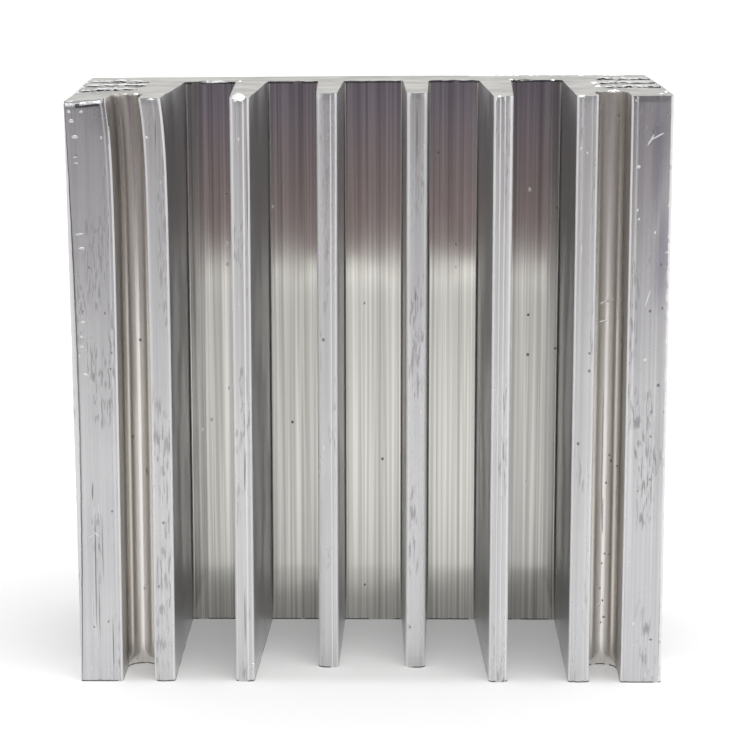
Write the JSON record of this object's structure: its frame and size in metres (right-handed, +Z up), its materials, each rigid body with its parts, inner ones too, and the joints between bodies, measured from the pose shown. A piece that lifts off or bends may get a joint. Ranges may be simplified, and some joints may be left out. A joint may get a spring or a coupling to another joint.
{
  "type": "extruded heat sink",
  "caption": "Extruded aluminium heat sink with tapered fins on a flat base, slotted side walls and open screw channels for a small fan.",
  "frame": {"origin": "bottom centre of the box, on the sawn end that the piece stands on", "axes": "+Z up along the extruded profile, +Y out of the mounting face, -Y towards the fin tips, +X across the fins"},
  "size_m": [0.04, 0.02, 0.0403],
  "materials": {
    "bare_aluminium": "bare mill finish, semi-gloss with fine lines along the profile, sawn ends matt"
  },
  "bodies": {
    "root": {"heat_sink": "bare_aluminium"}
  },
  "joints": []
}
